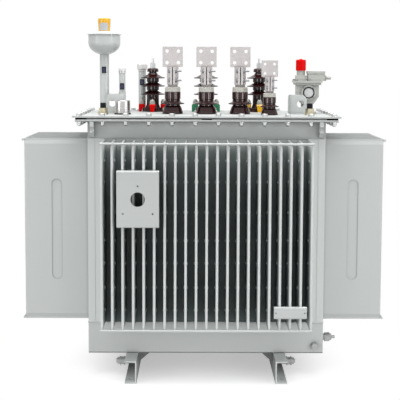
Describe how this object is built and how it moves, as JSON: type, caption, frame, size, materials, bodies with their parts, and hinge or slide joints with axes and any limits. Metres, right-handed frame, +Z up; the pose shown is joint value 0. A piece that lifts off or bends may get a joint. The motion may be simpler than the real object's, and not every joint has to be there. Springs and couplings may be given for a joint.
{
  "type": "power transformer",
  "caption": "Oil-filled power transformer with a corrugated cooling tank on channel rails, a bolted cover, porcelain bushings, an oil cup and a gas relay.",
  "frame": {"origin": "on the floor, midway between the four anchor holes of the rails, under the tank centre", "axes": "+X along the tank to the relay end, -Y to the low-voltage front, +Z up"},
  "size_m": [1.809, 1.032, 1.785],
  "materials": {
    "grey_paint": "satin",
    "zinc_steel": "satin",
    "tinned_metal": "satin",
    "brown_porcelain": "gloss",
    "cream_cap": "satin",
    "red_plastic": "gloss",
    "green_plastic": "gloss",
    "yellow_plastic": "gloss",
    "white_plastic": "satin",
    "black_plastic": "satin",
    "black_rubber": "matt",
    "blue_window": "gloss",
    "polished_steel": "polished",
    "brass": "satin",
    "clear_glass": "clear"
  },
  "bodies": {
    "root": {"left_base_rail": "grey_paint", "right_base_rail": "grey_paint", "rail_gussets": "grey_paint", "lower_frame": "grey_paint", "corner_posts": "grey_paint", "front_fin_wall": "grey_paint", "back_fin_wall": "grey_paint", "left_fin_wall": "grey_paint", "right_fin_wall": "grey_paint", "fin_tie_rods": "grey_paint", "upper_frame": "grey_paint", "tank_flange": "grey_paint", "corner_lugs": "grey_paint", "cover_plate": "grey_paint", "lifting_lugs": "grey_paint", "oil_column": "grey_paint", "oil_bowl": "grey_paint", "filler_pipe": "grey_paint", "relay_body": "grey_paint", "relay_head": "grey_paint", "instrument_plate": "grey_paint", "name_plate": "grey_paint", "earth_studs": "zinc_steel", "hv_terminals": "zinc_steel", "drain_valve": "zinc_steel", "lv_terminal_a": "tinned_metal", "lv_terminal_b": "tinned_metal", "lv_terminal_c": "tinned_metal", "lv_terminal_n": "tinned_metal", "lv_porcelain_a": "brown_porcelain", "lv_porcelain_b": "brown_porcelain", "lv_porcelain_c": "brown_porcelain", "lv_porcelain_n": "brown_porcelain", "hv_porcelain_a": "brown_porcelain", "hv_porcelain_b": "brown_porcelain", "hv_porcelain_c": "brown_porcelain", "lv_caps": "cream_cap", "hv_clamps_a": "red_plastic", "relay_cap": "red_plastic", "hv_clamps_b": "green_plastic", "hv_clamps_c": "yellow_plastic", "bowl_cap": "yellow_plastic", "white_caps": "white_plastic", "pocket_caps": "black_plastic", "relay_bezel": "black_plastic", "cover_gasket": "black_rubber", "relief_ring": "black_rubber", "level_windows": "blue_window", "relief_cup": "polished_steel", "thermometer_pockets": "brass", "relay_glass": "clear_glass"}
  },
  "joints": []
}
